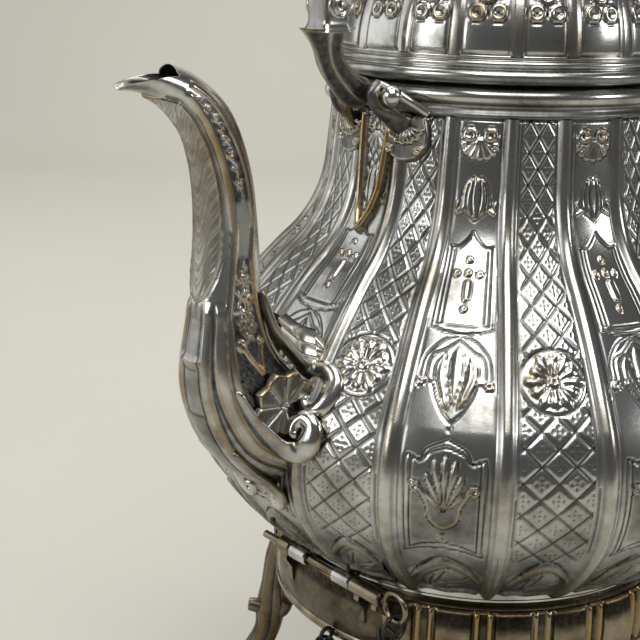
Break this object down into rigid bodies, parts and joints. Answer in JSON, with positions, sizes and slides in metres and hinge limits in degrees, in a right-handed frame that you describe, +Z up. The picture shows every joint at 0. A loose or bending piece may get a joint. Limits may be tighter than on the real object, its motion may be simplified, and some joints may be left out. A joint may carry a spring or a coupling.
{
  "type": "tilting silver coffee pot on a stand",
  "caption": "Pear-shaped panelled silver pot with a scroll spout, lift-off domed lid and overhead handle, hinged to tilt for pouring on a four-legged stand with a spirit burner",
  "frame": {"origin": "on the table under the axis of the pot, between the four feet", "axes": "+Z up, spout towards -X, -Y is the side the picture shows"},
  "size_m": [0.236, 0.1892, 0.3575],
  "materials": {
    "silver_plate": "tarnished silver plate, polished high spots and blackened recesses",
    "worn_plate": "silver plate worn through to bronze-toned base metal",
    "brass": "dull brass",
    "steel_wire": "darkened iron wire",
    "bone": "aged bone",
    "cotton": "woven cotton"
  },
  "bodies": {
    "stand": {"stand_ring": "worn_plate", "burner_frame": "worn_plate", "leg_front_left": "worn_plate", "leg_front_right": "worn_plate", "leg_rear_left": "worn_plate", "leg_rear_right": "worn_plate", "foot_front_left": "worn_plate", "foot_front_right": "worn_plate", "foot_rear_left": "worn_plate", "foot_rear_right": "worn_plate", "stand_knuckle_front_a": "worn_plate", "stand_knuckle_front_b": "worn_plate", "stand_knuckle_rear_a": "worn_plate", "stand_knuckle_rear_b": "worn_plate", "front_chain": "steel_wire", "front_chain_eye": "steel_wire", "rear_chain": "steel_wire", "rear_chain_eye": "steel_wire"},
    "kettle": {"body_shell": "silver_plate", "bottom_plate": "silver_plate", "base_rim": "silver_plate", "neck_collar": "silver_plate", "spout": "silver_plate", "spout_leaf": "silver_plate", "spout_shell_left": "silver_plate", "spout_shell_right": "silver_plate", "handle_lug_front_left": "silver_plate", "handle_lug_front_right": "silver_plate", "handle_lug_rear_left": "silver_plate", "handle_lug_rear_right": "silver_plate", "handle_pin_front": "silver_plate", "handle_pin_rear": "silver_plate", "handle_arm_front": "silver_plate", "handle_arm_rear": "silver_plate", "handle_cup_front": "silver_plate", "handle_cup_rear": "silver_plate", "handle_bow_front": "silver_plate", "handle_bow_rear": "silver_plate", "handle_insulator_front": "bone", "handle_insulator_rear": "bone", "handle_grip": "silver_plate", "kettle_knuckle_front": "silver_plate", "kettle_lug_rear": "silver_plate"},
    "lid": {"lid_rim": "silver_plate", "lid_bezel": "silver_plate", "lid_dome": "silver_plate", "finial_collar": "silver_plate", "finial": "silver_plate", "finial_nut": "silver_plate"},
    "front_pin": {"front_pin": "worn_plate"},
    "rear_pin": {"rear_pin": "worn_plate"},
    "burner": {"burner_bowl": "brass", "burner_cover": "brass", "wick_tube": "brass", "wick": "cotton", "snuffer_ears": "brass", "snuffer_pin": "brass"},
    "snuffer": {"snuffer_cap": "brass"}
  },
  "joints": [
    {"name": "kettle_tilt", "type": "hinge", "parent": "stand", "child": "kettle", "pos_m": [-0.069, 0, 0.11], "axis": [0, -1, 0], "range_deg": [0, 48]},
    {"name": "lid_lift", "type": "slide", "parent": "kettle", "child": "lid", "axis": [0, 0, 1], "range_m": [0, 0.013]},
    {"name": "front_pin_pull", "type": "slide", "parent": "stand", "child": "front_pin", "axis": [0, -1, 0], "range_m": [0, 0.046], "deforming": ["front_chain"]},
    {"name": "rear_pin_pull", "type": "slide", "parent": "stand", "child": "rear_pin", "axis": [0, -1, 0], "range_m": [-0.031, 0.014], "deforming": ["rear_chain"]},
    {"name": "burner_lift", "type": "slide", "parent": "stand", "child": "burner", "axis": [0, 0, 1], "range_m": [0, 0.02]},
    {"name": "snuffer_open", "type": "hinge", "parent": "burner", "child": "snuffer", "pos_m": [0.016, 0, 0.0575], "axis": [0, 1, 0], "range_deg": [0, 105]}
  ]
}
